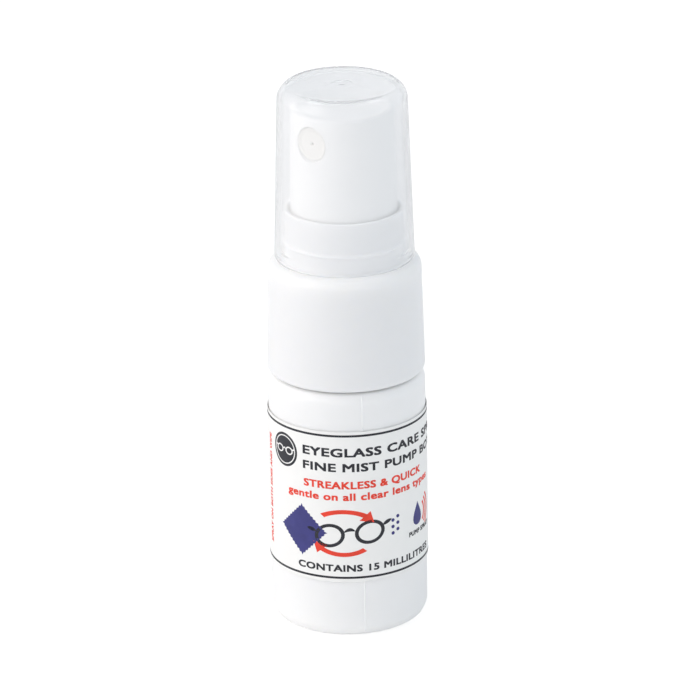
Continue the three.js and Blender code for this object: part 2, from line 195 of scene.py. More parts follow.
def rounded(corners, steps=8, support=0.14):
    """An outline of (radius, z) points from corners given as (radius, z) or (radius, z, fillet).

    A fillet becomes an arc with a support point on each side, so that flat stretches shade flat.
    """
    count = len(corners)
    on_axis = corners[0][0] == 0 and corners[-1][0] == 0
    points = [Vector(c[:2]) for c in corners]
    fillets = [c[2] if len(c) > 2 else 0.0 for c in corners]
    turns = []
    for i in range(count):
        if fillets[i] == 0 or (on_axis and i in (0, count - 1)):
            turns.append(None)
            continue
        back = (points[i - 1] - points[i]).normalized()
        ahead = (points[(i + 1) % count] - points[i]).normalized()
        half = back.angle(ahead) / 2
        turns.append((back, ahead, half, fillets[i] / math.tan(half)))
    outline = []
    for i in range(count):
        if turns[i] is None:
            outline.append(points[i])
            continue
        back, ahead, half, reach = turns[i]
        centre = points[i] + (back + ahead).normalized() * (fillets[i] / math.sin(half))
        start = points[i] + back * reach - centre
        end = points[i] + ahead * reach - centre
        sweep = start.angle_signed(end)
        arc_steps = max(2, round(steps * abs(sweep) / (math.pi / 2)))
        room_back = (points[i - 1] - points[i]).length - reach - reach_of(turns[i - 1])
        room_ahead = (points[(i + 1) % count] - points[i]).length - reach
        room_ahead -= reach_of(turns[(i + 1) % count])
        if room_back > support:
            outline.append(centre + start + back * min(support, room_back / 3))
        for k in range(arc_steps + 1):
            spun = start.copy()
            spun.rotate(Matrix.Rotation(-sweep * k / arc_steps, 2))
            outline.append(centre + spun)
        if room_ahead > support:
            outline.append(centre + end + ahead * min(support, room_ahead / 3))
    return outline


def reach_of(turn):
    return 0.0 if turn is None else turn[3]


def even_angles(sides):
    return [FULL_TURN * k / sides for k in range(sides)]


def turned(outline, angles, shape=None):
    """A bmesh of the outline turned about Z. shape(radius, z, angle) may move each radius."""
    bm = bmesh.new()
    rows = []
    for r, z in outline:
        if r < 1e-6:
            rows.append([bm.verts.new((0, 0, z))])
            continue
        row = []
        for angle in angles:
            radius = shape(r, z, angle) if shape else r
            row.append(bm.verts.new((radius * math.cos(angle), radius * math.sin(angle), z)))
        rows.append(row)
    on_axis = len(rows[0]) == 1 and len(rows[-1]) == 1
    last = len(rows) - 1 if on_axis else len(rows)
    for i in range(last):
        low, high = rows[i], rows[(i + 1) % len(rows)]
        for k in range(len(angles)):
            n = (k + 1) % len(angles)
            loop = [low[k % len(low)], low[n % len(low)], high[n % len(high)], high[k % len(high)]]
            corners = list(dict.fromkeys(loop))
            if len(corners) > 2:
                bm.faces.new(corners)
    return bm


def turned_piece(name, corners, sides=96, steps=8, sharp=SHARP):
    return finished(name, turned(rounded(corners, steps), even_angles(sides)), sharp)


def pin(r, low, high, fillet=0.0):
    """Corners of a plain round pin, with its lower edge rounded."""
    return [(0, low), (r, low, fillet), (r, high), (0, high)]


def cross_turned(corners, sides, z):
    """A bmesh turned about the spray direction, at height z. The outline's z runs outward."""
    bm = turned(rounded(corners, 6), even_angles(sides))
    spin = Matrix.Rotation(NOZZLE_TURN, 4, "Z") @ Matrix.Rotation(math.pi / 2, 4, "Y")
    bm.transform(Matrix.Translation((0, 0, z)) @ spin)
    return bm


MERGE = 1e-6  # metres: points closer than this become one


def combine(piece, cutter, operation):
    """Cuts or joins another mesh object with an exact boolean, and removes it."""
    step = piece.modifiers.new("combine", "BOOLEAN")
    step.object = cutter
    step.operation = operation
    step.solver = "EXACT"
    graph = bpy.context.evaluated_depsgraph_get()
    mesh = bpy.data.meshes.new_from_object(piece.evaluated_get(graph))
    mesh.name = piece.name
    bm = bmesh.new()
    bm.from_mesh(mesh)
    bmesh.ops.remove_doubles(bm, verts=bm.verts, dist=MERGE)
    bmesh.ops.dissolve_degenerate(bm, dist=MERGE, edges=bm.edges)
    bm.to_mesh(mesh)
    bm.free()
    piece.modifiers.clear()
    piece.data = mesh
    bpy.data.objects.remove(cutter)
    mesh.set_sharp_from_angle(angle=math.radians(SHARP))


def with_wall(outline, r, start, end):
    """Adds points along the straight wall from start to end, so that it can carry a thread."""
    way = math.copysign(1, end - start)
    first = start + WALL_MARGIN * way
    last = end - WALL_MARGIN * way
    count = round(abs(last - first) / WALL_STEP)
    wall = [Vector((r, first + (last - first) * k / count)) for k in range(count + 1)]
    cut = next(i for i, point in enumerate(outline) if abs(point[1] - start) < 1e-6)
    return outline[: cut + 1] + wall + outline[cut + 1 :]


def thread_rise(angle, z, start_z, turns):
    """Share of the full thread height at a point of the wall, from 0 to 1."""
    fade_angle = 0.3
    best = 0.0
    for lap in range(math.ceil(turns)):
        along = angle % FULL_TURN + lap * FULL_TURN
        if along > turns * FULL_TURN:
            continue
        centre = start_z + THREAD_PITCH * along / FULL_TURN
        flank = (THREAD_ROOT / 2 - abs(z - centre)) / ((THREAD_ROOT - THREAD_CREST) / 2)
        fade = min(1.0, along / fade_angle, (turns * FULL_TURN - along) / fade_angle)
        best = max(best, min(1.0, max(0.0, flank)) * max(0.0, fade))
    return best


# ---- materials ----------------------------------------------------------------------------


def link(tree, source, target):
    tree.links.new(source, target)


def noise(tree, coords, scale, detail=2.0):
    node = tree.nodes.new("ShaderNodeTexNoise")
    node.inputs["Scale"].default_value = scale
    node.inputs["Detail"].default_value = detail
    link(tree, coords, node.inputs["Vector"])
    return node.outputs["Fac"]


def spread(tree, value, low, high):
    """Maps a noise value to the range from low to high."""
    node = tree.nodes.new("ShaderNodeMapRange")
    node.inputs["From Min"].default_value = 0.3
    node.inputs["From Max"].default_value = 0.7
    node.inputs["To Min"].default_value = low
    node.inputs["To Max"].default_value = high
    link(tree, value, node.inputs["Value"])
    return node.outputs["Result"]


def tinted(tree, value, first, second):
    node = tree.nodes.new("ShaderNodeMix")
    node.data_type = "RGBA"
    link(tree, value, node.inputs["Factor"])
    node.inputs["A"].default_value = (*first, 1)
    node.inputs["B"].default_value = (*second, 1)
    return node.outputs["Result"]


def material(name, colour, rough, mottle=0.004, rough_spread=0.04, grain=(2200, 0.004), **uniform):
    """A moulded or printed surface: faintly mottled colour, uneven gloss and a fine grain.

    grain is the scale of the relief, per metre, and its height in millimetres. The uniform
    values go straight to the shader's sockets, with spaces for underscores.
    """
    made = bpy.data.materials.new(name)
    made.use_nodes = True
    tree = made.node_tree
    shader = tree.nodes["Principled BSDF"]
    coords = tree.nodes.new("ShaderNodeTexCoord").outputs["Object"]
    darker = tuple(c * (1 - mottle) for c in colour)
    lighter = tuple(min(1, c * (1 + mottle)) for c in colour)
    patches = spread(tree, noise(tree, coords, 420, 3), 0, 1)
    link(tree, tinted(tree, patches, darker, lighter), shader.inputs["Base Color"])
    gloss = spread(tree, noise(tree, coords, 900), rough - rough_spread, rough + rough_spread)
    link(tree, gloss, shader.inputs["Roughness"])
    bump = tree.nodes.new("ShaderNodeBump")
    bump.inputs["Strength"].default_value = 1.0
    bump.inputs["Distance"].default_value = grain[1] * MM
    link(tree, noise(tree, coords, grain[0]), bump.inputs["Height"])
    link(tree, bump.outputs["Normal"], shader.inputs["Normal"])
    for key, value in uniform.items():
        shader.inputs[key.replace("_", " ")].default_value = value
    return made


MATERIALS = {
    "bottle_plastic": material(
        "satin_hdpe", (0.945, 0.946, 0.938), 0.36, grain=(2600, 0.006), IOR=1.54,
        Subsurface_Weight=0.3, Subsurface_Radius=(1.0, 0.95, 0.85), Subsurface_Scale=0.002,
    ),
    "label_paper": material("label_stock", (0.9, 0.9, 0.885), 0.5, grain=(9000, 0.006)),
    "collar_plastic": material(
        "white_pp", (0.89, 0.892, 0.89), 0.33, rough_spread=0.03, grain=(1500, 0.002), IOR=1.49,
        Subsurface_Weight=0.6, Subsurface_Radius=(1.0, 0.95, 0.85), Subsurface_Scale=0.0018,
    ),
    "actuator_plastic": material(
        "button_pp", (0.87, 0.872, 0.872), 0.33, rough_spread=0.03, grain=(1500, 0.002)
    ),
    "overcap_plastic": material(
        "natural_pp", (0.98, 0.983, 0.987), 0.21, mottle=0.003, rough_spread=0.02,
        grain=(1400, 0.0006), Transmission_Weight=0.82, IOR=1.13,
        Coat_Weight=1.0, Coat_Roughness=0.14, Coat_IOR=1.45,
    ),
    "nozzle_plastic": material("ivory_acetal", (0.82, 0.805, 0.775), 0.38, grain=(3000, 0.01)),
    "gasket_rubber": material("black_rubber", (0.022, 0.022, 0.024), 0.7, grain=(3500, 0.03)),
    "pump_plastic": material("pump_pp", (0.82, 0.835, 0.84), 0.34),
    "tube_plastic": material("tube_pe", (0.78, 0.81, 0.81), 0.34),
    "piston_plastic": material("piston_pe", (0.84, 0.85, 0.83), 0.42),
    "pump_steel": material(
        "bright_steel", (0.62, 0.62, 0.63), 0.22, grain=(6000, 0.004), Metallic=1.0
    ),
}

INKS = {
    "black": material("ink_black", (0.014, 0.015, 0.022), 0.5, mottle=0.25, grain=(9000, 0.004)),
    "red": material("ink_red", (0.8, 0.045, 0.018), 0.5, mottle=0.08, grain=(9000, 0.004)),
    "blue": material("ink_blue", (0.035, 0.035, 0.19), 0.5, mottle=0.12, grain=(9000, 0.004)),
    "white": material("ink_white", (0.87, 0.87, 0.86), 0.5, grain=(9000, 0.004)),
}


def dress(piece, slot, look=None):
    piece.data.materials.clear()
    piece.data.materials.append(look or MATERIALS[slot])
    return piece


def install(piece, node, body, slot):
    """The piece stands for its CAD node and rides on its body."""
    dress(piece, slot)
    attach(piece, body)
    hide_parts(node)
    return piece


# ---- bottle -------------------------------------------------------------------------------


def seamed_angles(sides):
    """Even angles round the body, with extra ones where the mould's parting line runs."""
    step = SEAM_HALF_WIDTH / BODY_R
    offsets = (-2, -1, -0.5, 0, 0.5, 1, 2)
    extra = [(seam + k * step) % FULL_TURN for seam in SEAM_ANGLES for k in offsets]
    clear = [
        a
        for a in even_angles(sides)
        if min(abs(a - e) for e in extra) > step
    ]
    return sorted(clear + extra)


def bottle_shape(r, z, angle):
    if z > SHOULDER_Z + 1 and r > NECK_BORE_R + 1:
        rise = thread_rise(angle, z, NECK_THREAD_Z, NECK_THREAD_TURNS)
        return r + THREAD_DEPTH * rise
    outside = r > BODY_R - BODY_WALL / 2
    on_base = z < 0.01 and r > FOOT_IN_R
    if not outside or on_base:
        return r
    gap = min(
        abs((angle - seam + math.pi) % FULL_TURN - math.pi) * BODY_R for seam in SEAM_ANGLES
    )
    return r - SEAM_HEIGHT + SEAM_HEIGHT * max(0.0, 1 - gap / SEAM_HALF_WIDTH)


def make_bottle():
    inner = BODY_R - BODY_WALL
    below = [
        (0, PUSH_UP),
        (2.2, PUSH_UP - 0.03, 1),
        (6.4, 0.75, 2),
        (FOOT_IN_R, 0, 0.4),
        (BODY_R, 0, BODY_CORNER),
        (BODY_R, SHOULDER_Z, BODY_CORNER),
        (NECK_R, SHOULDER_Z, 0.7),
        (NECK_R, NECK_WALL_Z),
    ]
    above = [
        (NECK_R, NECK_WALL_TOP),
        (NECK_R, NECK_TOP, 0.35),
        (NECK_BORE_R, NECK_TOP, 0.25),
        (NECK_BORE_R, SHOULDER_Z - 0.4, 1.2),
        (inner, SHOULDER_Z - BODY_WALL, 1.8),
        (inner, BODY_WALL + 0.3, 1.8),
        (6.4, PUSH_UP + 0.45, 1),
        (0, PUSH_UP + BODY_WALL),
    ]
    outline = with_wall(rounded(below + above, 10), NECK_R, NECK_WALL_Z, NECK_WALL_TOP)
    bottle = finished("bottle_shell", turned(outline, seamed_angles(160), bottle_shape))
    return install(bottle, "bottle", "bottle_body", "bottle_plastic")


# ---- collar and overcap -------------------------------------------------------------------


def collar_shape(r, z, angle):
    if abs(r - COLLAR_BORE_R) > 0.01 or not COLLAR_WALL_Z - 0.1 < z < COLLAR_WALL_TOP + 0.1:
        return r
    start = NECK_THREAD_Z - THREAD_PITCH / 2
    return r - THREAD_DEPTH * thread_rise(angle, z, start, COLLAR_THREAD_TURNS)


def make_collar():
    foot_z = COLLAR_Z + 1.1
    wall = 0.88
    bore_out = COLLAR_BORE_R + 0.95
    head_under = COLLAR_TOP - 2.8
    rise = SNAP_R - SKIRT_R
    first = [
        (COLLAR_R - wall, COLLAR_Z - FOOT_DROP, 0.1),
        (COLLAR_R, COLLAR_Z - FOOT_DROP, 0.68),
        (COLLAR_HEAD_R, COLLAR_TOP, 1.8),
        (SKIRT_R, COLLAR_TOP, 0.3),
        (SKIRT_R, SNAP_Z - rise, 0.3),
        (SNAP_R, SNAP_Z, 0.15),
        (SKIRT_R, SNAP_Z + rise, 0.3),
        (SKIRT_R - 0.08, SKIRT_TOP, 0.2),
        (SKIRT_BORE_R, SKIRT_TOP, 0.2),
        (SKIRT_BORE_R, DECK_TOP, 0.25),
        (DECK_HOLE_R, DECK_TOP, 0.15),
        (DECK_HOLE_R, DECK_UNDER, 0.15),
        (COLLAR_BORE_R, DECK_UNDER, 0.2),
        (COLLAR_BORE_R, COLLAR_WALL_TOP),
    ]
    second = [
        (COLLAR_BORE_R, COLLAR_WALL_Z),
        (COLLAR_BORE_R, foot_z, 0.2),
        (bore_out, foot_z, 0.2),
        (bore_out, head_under, 0.3),
        (COLLAR_HEAD_R - wall, head_under, 0.3),
    ]
    whole = rounded(first + second, 10)
    outline = with_wall(whole, COLLAR_BORE_R, COLLAR_WALL_TOP, COLLAR_WALL_Z)
    collar = finished("collar_shell", turned(outline, even_angles(160), collar_shape))
    return install(collar, "screw_collar", "collar", "collar_plastic")


def make_overcap():
    slope = (CAP_R - CAP_HEAD_R) / (CAP_TOP - CAP_CORNER - CAP_Z)

    def inner(z):
        return CAP_R - CAP_WALL - slope * (z - CAP_Z)

    def outer(z):
        return CAP_R - slope * (z - CAP_Z)

    tilt = math.atan(slope)
    shoulder_z = CAP_TOP - CAP_CORNER
    shoulder_r = outer(shoulder_z) - CAP_CORNER / math.cos(tilt)
    edge_angle = math.acos((TOP_EDGE_R - shoulder_r) / CAP_CORNER)
    steps = 16
    sweep = [tilt + (edge_angle - tilt) * k / steps for k in range(steps + 1)]
    shoulder = [
        (shoulder_r + CAP_CORNER * math.cos(a), shoulder_z + CAP_CORNER * math.sin(a))
        for a in sweep
    ]
    top = shoulder[-1][1] - TOP_STEP
    ceiling = top - CAP_WALL
    bead = 0.55
    corners = [
        (0, ceiling),
        (inner(ceiling), ceiling, 1.9),
        (inner(CAP_BEAD_Z + bead), CAP_BEAD_Z + bead, 0.3),
        (CAP_BEAD_R, CAP_BEAD_Z, 0.15),
        (inner(CAP_BEAD_Z - bead), CAP_BEAD_Z - bead, 0.3),
        (inner(CAP_Z), CAP_Z, 0.3),
        (CAP_R, CAP_Z, 0.35),
        *shoulder,
        (TOP_EDGE_R - 0.35, top, 0.1),
        (GATE_R, top, 0.1),
        (GATE_R - 0.25, top - GATE_DEPTH, 0.2),
        (0.5, top - GATE_DEPTH, 0.2),
        (0.3, top - 0.01, 0.1),
        (0, top - 0.01),
    ]
    cap = turned_piece("overcap_shell", corners, 192, 14, 50)
    # The thin walls let the light through to what they cover, and cast no shadow of their own.
    cap.visible_diffuse = False
    cap.visible_shadow = False
    return install(cap, "overcap", "cap", "overcap_plastic")


# ---- actuator and nozzle ------------------------------------------------------------------


def make_actuator():
    wall = BUTTON_WALL
    corners = [
        (0, CEILING_Z),
        (BUTTON_HEAD_R - wall, CEILING_Z, 0.4),
        (BUTTON_R - wall, BUTTON_Z, 0.12),
        (BUTTON_R, BUTTON_Z, 0.18),
        (BUTTON_HEAD_R, BUTTON_TOP, 0.65),
        (7.0, BUTTON_TOP - 0.05, 0.4),
        (5.9, DISH_Z + 0.3, 2.5),
        (0, DISH_Z),
    ]
    button = turned_piece("actuator_shell", corners, 160, 10)
    boss = pin(BOSS_R, SOCKET_Z, CEILING_Z + 0.4, 0.15)
    combine(button, turned_piece("boss", boss), "UNION")
    lug = pin(LUG_R, 0, BUTTON_HEAD_R - 0.5)
    combine(button, finished("lug", cross_turned(lug, 96, NOZZLE_Z)), "UNION")
    mouth = NOZZLE_FACE - 0.05
    outside = NOZZLE_FACE + 1.0
    recess = [
        (POST_R, NOZZLE_BACK - 0.15),
        (NOZZLE_R + NOZZLE_GAP, NOZZLE_BACK - 0.15),
        (NOZZLE_R + NOZZLE_GAP, mouth, 0.2),
        (NOZZLE_R + 0.5, outside),
        (0, outside),
        (0, POST_END),
        (POST_R, POST_END),
    ]
    combine(button, finished("recess", cross_turned(recess, 96, NOZZLE_Z)), "DIFFERENCE")
    socket = pin(SOCKET_R, SOCKET_Z - 1, STEM_TOP + 0.2)
    combine(button, turned_piece("socket", socket), "DIFFERENCE")
    riser = pin(FEED_R, STEM_TOP - 0.8, FEED_Z)
    combine(button, turned_piece("riser", riser, 32), "DIFFERENCE")
    duct = pin(FEED_R, -0.3, NOZZLE_BACK + 0.4)
    combine(button, finished("duct", cross_turned(duct, 32, FEED_Z)), "DIFFERENCE")
    return install(button, "actuator", "button", "actuator_plastic")


def make_nozzle():
    corners = [
        (POST_R + 0.15, NOZZLE_BACK, 0.05),
        (NOZZLE_R, NOZZLE_BACK, 0.1),
        (NOZZLE_R, NOZZLE_FACE + RIM_RISE, 0.1),
        (NOZZLE_R - 0.3, NOZZLE_FACE + RIM_RISE, 0.1),
        (NOZZLE_R - 0.6, NOZZLE_FACE, 0.2),
        (0.45, NOZZLE_FACE, 0.1),
        (ORIFICE_R, NOZZLE_FACE - 0.18, 0.05),
        (ORIFICE_R, POST_END + 0.15),
        (POST_R + 0.15, POST_END + 0.15),
    ]
    nozzle = finished("nozzle_disc", cross_turned(corners, 96, NOZZLE_Z))
    return install(nozzle, "nozzle_insert", "button", "nozzle_plastic")


# ---- pump ---------------------------------------------------------------------------------


def make_pump():
    lip_z = SHELF_Z - 1.8
    housing = [
        (INLET_R, TAIL_Z, 0.08),
        (TAIL_R, TAIL_Z, 0.15),
        (TAIL_R, TAIL_Z + 7.5, 0.8),
        (HOUSING_R, TAIL_Z + 10, 0.8),
        (HOUSING_R, HOUSING_TOP - FLANGE, 0.2),
        (FLANGE_R, HOUSING_TOP - FLANGE, 0.12),
        (FLANGE_R, HOUSING_TOP, 0.12),
        (CHAMBER_R, HOUSING_TOP, 0.15),
        (CHAMBER_R, SHELF_Z, 0.15),
        (BALL_POCKET_R, SHELF_Z, 0.1),
        (BALL_POCKET_R, lip_z + 0.4),
        (BALL_LIP_R, lip_z + 0.4, 0.1),
        (BALL_LIP_R, lip_z, 0.1),
        (BALL_POCKET_R, lip_z),
        (BALL_POCKET_R, SHELF_Z - 3, 0.4),
        (0.85, SHELF_Z - 4.4, 0.3),
        (0.85, TUBE_TOP + 0.1),
        (INLET_R, TUBE_TOP + 0.1),
    ]
    install(turned_piece("housing_shell", housing), "pump_housing", "pump", "pump_plastic")
    flange_z = HOUSING_TOP + 0.05
    turret = [
        (2.8, PLUG_Z, 0.1),
        (CHAMBER_R - 0.15, PLUG_Z, 0.15),
        (CHAMBER_R - 0.15, flange_z, 0.1),
        (CHAPLET_R, flange_z, 0.12),
        (CHAPLET_R, flange_z + FLANGE, 0.12),
        (TURRET_R, flange_z + FLANGE, 0.35),
        (TURRET_R, TURRET_TOP, 0.4),
        (STEM_R + 0.25, TURRET_TOP, 0.2),
        (STEM_R + 0.25, TURRET_TOP - 1, 0.1),
        (2.8, TURRET_TOP - 1, 0.1),
    ]
    install(turned_piece("chaplet_ring", turret), "chaplet", "pump", "pump_plastic")
    seal = [
        (4.75, GASKET_Z, 0.06),
        (GASKET_R, GASKET_Z, 0.06),
        (GASKET_R, GASKET_TOP, 0.06),
        (4.75, GASKET_TOP, 0.06),
    ]
    install(turned_piece("sealing_ring", seal), "gasket", "pump", "gasket_rubber")
    tube = [
        (0.9, TUBE_Z, 0.04),
        (TUBE_R, TUBE_Z, 0.04),
        (TUBE_R, TUBE_TOP, 0.04),
        (0.9, TUBE_TOP, 0.04),
    ]
    install(turned_piece("suction_tube", tube), "dip_tube", "pump", "tube_plastic")


def make_stem():
    head_z = PISTON_Z - 1.2
    plunger = [
        (0, SPIGOT_Z),
        (1.9, SPIGOT_Z, 0.35),
        (1.9, head_z, 0.15),
        (PLUNGER_R, head_z, 0.12),
        (PLUNGER_R, head_z + 1.1, 0.35),
        (STEM_BORE_R - 0.05, head_z + 1.1, 0.1),
        (STEM_BORE_R - 0.05, PIN_TOP, 0.2),
        (0, PIN_TOP),
    ]
    install(turned_piece("plunger", plunger), "lower_stem", "stem", "pump_plastic")
    shoulder_z = 55.3
    tube = [
        (STEM_BORE_R, STEM_Z, 0.08),
        (STEM_R, STEM_Z, 0.1),
        (STEM_R, shoulder_z, 0.1),
        (STEM_SHOULDER_R, shoulder_z, 0.12),
        (STEM_SHOULDER_R, shoulder_z + 0.9, 0.12),
        (STEM_R, shoulder_z + 0.9, 0.15),
        (STEM_R, STEM_TOP, 0.25),
        (STEM_BORE_R, STEM_TOP, 0.12),
    ]
    stem = turned_piece("stem_tube", tube)
    port_z = 52.0
    port = turned(rounded(pin(0.45, -3, 3)), even_angles(32))
    port.transform(Matrix.Translation((0, 0, port_z)) @ Matrix.Rotation(math.pi / 2, 4, "Y"))
    combine(stem, finished("port", port), "DIFFERENCE")
    install(stem, "upper_stem", "stem", "pump_plastic")
    bore = STEM_R + 0.1
    waist = PISTON_R - 0.35
    sleeve = [
        (bore, PISTON_Z, 0.1),
        (bore + 0.5, PISTON_Z, 0.1),
        (bore + 0.7, PISTON_Z + 0.6, 0.1),
        (waist, PISTON_Z + 0.3, 0.05),
        (PISTON_R, PISTON_Z + 0.3, 0.05),
        (PISTON_R, PISTON_Z + 0.7, 0.1),
        (waist, PISTON_Z + 1.4, 0.4),
        (waist, PISTON_Z + 2.6, 0.4),
        (PISTON_R, PISTON_Z + 3.3, 0.1),
        (PISTON_R, PISTON_TOP, 0.05),
        (waist, PISTON_TOP, 0.05),
        (waist - 0.2, PISTON_TOP - 0.4, 0.05),
        (bore + 0.5, PISTON_TOP - 0.4, 0.1),
        (bore + 0.5, PISTON_TOP, 0.05),
        (bore, PISTON_TOP, 0.05),
    ]
    install(turned_piece("piston_sleeve", sleeve), "piston", "pump_piston", "piston_plastic")


def make_ball():
    bm = bmesh.new()
    bmesh.ops.create_uvsphere(bm, u_segments=48, v_segments=24, radius=BALL_R)
    bm.transform(Matrix.Translation((0, 0, (BALL_Z + BALL_TOP) / 2)))
    install(finished("inlet_ball", bm, 180), "check_ball", "ball", "pump_steel")


def make_spring():
    """A wire coil with one closed turn at each end, at the length it has before the button is
    pressed.
    """
    wire = 0.25
    coil_r = SPRING_R - wire
    dead, live = 1.0, 4.0
    turns = 2 * dead + live
    closed_pitch = 2 * wire + 0.02
    open_rise = SPRING_TOP - SPRING_Z - 2 * wire - 2 * dead * closed_pitch
    steps, sides = int(turns * 40), 12

    def height(turn):
        rise = min(turn, dead) * closed_pitch
        rise += min(max(turn - dead, 0), live) / live * open_rise
        return rise + max(turn - dead - live, 0) * closed_pitch

    bm = bmesh.new()
    rings = []
    for i in range(steps + 1):
        turn = turns * i / steps
        angle = turn * FULL_TURN
        centre = Vector((coil_r * math.cos(angle), coil_r * math.sin(angle),
                         SPRING_Z + wire + height(turn)))
        out = Vector((math.cos(angle), math.sin(angle), 0))
        spots = [FULL_TURN * k / sides for k in range(sides)]
        rings.append([
            bm.verts.new(centre + wire * (math.cos(a) * out + math.sin(a) * Vector((0, 0, 1))))
            for a in spots
        ])
    for low, high in zip(rings, rings[1:]):
        for k in range(sides):
            n = (k + 1) % sides
            bm.faces.new((low[k], low[n], high[n], high[k]))
    bm.faces.new(rings[0])
    bm.faces.new(rings[-1])
    spring = install(finished("coil_spring", bm), "return_spring", "pump", "pump_steel")
    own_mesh(spring)


# ---- label and print ----------------------------------------------------------------------
# The label is drawn flat, with s along its length from the middle and z up, then bent round
# the body.


def outline_curve(loops):
    """A filled flat curve with the given closed loops of (s, z) points, holes included."""
    curve = bpy.data.curves.new("loops", "CURVE")
    curve.dimensions = "2D"
    curve.fill_mode = "BOTH"
    for loop in loops:
        spline = curve.splines.new("POLY")
        spline.points.add(len(loop) - 1)
        for point, (s, z) in zip(spline.points, loop):
            point.co = (s, z, 0, 1)
        spline.use_cyclic_u = True
    return curve


def text_curve(words):
    curve = bpy.data.curves.new("words", "FONT")
    curve.body = words
    curve.size = 1.0
    curve.space_character = LETTER_SPACING
    curve.resolution_u = 3
    return curve


def flat_mesh(curve, thickness):
    """A closed bmesh of a flat curve, given its thickness upward from zero."""
    curve.extrude = thickness / 2
    holder = new_object("holder", curve)
    graph = bpy.context.evaluated_depsgraph_get()
    mesh = bpy.data.meshes.new_from_object(holder.evaluated_get(graph))
    bm = bmesh.new()
    bm.from_mesh(mesh)
    bmesh.ops.remove_doubles(bm, verts=bm.verts, dist=1e-5)
    bm.transform(Matrix.Translation((0, 0, thickness / 2)))
    bpy.data.objects.remove(holder)
    bpy.data.meshes.remove(mesh)
    bpy.data.curves.remove(curve)
    return bm


def bent(bm, inner_r):
    """Bends a flat bmesh round the body, after cutting it into narrow upright strips."""
    strip = 0.45
    low = min(v.co.x for v in bm.verts)
    high = max(v.co.x for v in bm.verts)
    for k in range(math.ceil(low / strip), math.floor(high / strip) + 1):
        parts = bm.verts[:] + bm.edges[:] + bm.faces[:]
        bmesh.ops.bisect_plane(
            bm, geom=parts, dist=1e-5, plane_co=(k * strip, 0, 0), plane_no=(1, 0, 0)
        )
    bmesh.ops.dissolve_degenerate(bm, dist=1e-4, edges=bm.edges)
    for vert in bm.verts:
        s, z, up = vert.co
        radius = inner_r + up
        angle = s / PAPER_OUT_R
        vert.co = (radius * math.sin(angle), -radius * math.cos(angle), z)
    return bm


def circle(s, z, r, points=40, squash=1.0):
    return [(s + r * math.cos(a), z + r * squash * math.sin(a)) for a in even_angles(points)]


def box_loop(low_s, low_z, high_s, high_z, corner=0.0):
    if corner == 0:
        return [(low_s, low_z), (high_s, low_z), (high_s, high_z), (low_s, high_z)]
    loop = []
    for s, z, start in (
        (high_s - corner, low_z + corner, -90),
        (high_s - corner, high_z - corner, 0),
        (low_s + corner, high_z - corner, 90),
        (low_s + corner, low_z + corner, 180),
    ):
        for k in range(7):
            angle = math.radians(start + 15 * k)
            loop.append((s + corner * math.cos(angle), z + corner * math.sin(angle)))
    return loop


def swoosh(start, end, sag, thick, steps=24):
    """A stroke that swells and tapers along a shallow arc from start to end."""
    start, end = Vector(start), Vector(end)
    side = Vector((-(end - start).y, (end - start).x)).normalized()
    upper, lower = [], []
    for k in range(steps + 1):
        t = k / steps
        middle = start.lerp(end, t) + side * sag * 4 * t * (1 - t)
        half = thick * math.sin(math.pi * (0.06 + 0.94 * t)) ** 0.7 / 2 + 0.02
        upper.append(tuple(middle + side * half))
        lower.append(tuple(middle - side * half))
    return lower + upper[::-1]


class Print:
    """Collects everything printed in one colour, and makes one piece of it."""

    def __init__(self, colour, layer):
        self.colour = colour
        self.layer = layer
        self.flat = bmesh.new()

    def take(self, bm):
        mesh = bpy.data.meshes.new("part")
        bm.to_mesh(mesh)
        bm.free()
        self.flat.from_mesh(mesh)
        bpy.data.meshes.remove(mesh)

    def shapes(self, *loops):
        self.take(flat_mesh(outline_curve(loops), INK))

    def words(self, text, s, baseline, cap, width, heavy=0.06, upright=False):
        """Lettering from s rightward. cap is the height of its capitals, width its length.

        The words are struck four times, at the corners of a small box whose half width is
        heavy times the cap height, so that they come out bold. Each strike is a little thicker
        than the last.
        """
        bm = flat_mesh(text_curve(text), INK)
        low = min(v.co.x for v in bm.verts)
        long = max(v.co.x for v in bm.verts) - low
        across = 2 * heavy * cap
        along = 0.7 * across
        wider = (width - across) / long
        taller = (cap - along) / CAPITAL_HEIGHT
        place = Matrix.Translation((s, baseline, 0))
        if upright:
            place @= Matrix.Rotation(math.pi / 2, 4, "Z")
        for k, (right, up) in enumerate(((0, 0), (1, 0), (1, 1), (0, 1))):
            strike = bm.copy()
            nudge = Matrix.Translation((across * right, along * up, 0))
            scale = Matrix.Diagonal((wider, taller, 1 + 0.05 * k, 1))
            strike.transform(place @ nudge @ scale @ Matrix.Translation((-low, 0, 0)))
            self.take(strike)
        bm.free()

    def finish(self):
        bm = bent(self.flat, PAPER_OUT_R + self.layer * INK)
        piece = finished("print_" + self.colour, bm, 60)
        dress(piece, "label_paper", INKS[self.colour])
        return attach(piece, "bottle_body")


def capital_height():
    bm = flat_mesh(text_curve("H"), INK)
    height = max(v.co.y for v in bm.verts)
    bm.free()
    return height


CAPITAL_HEIGHT = capital_height()


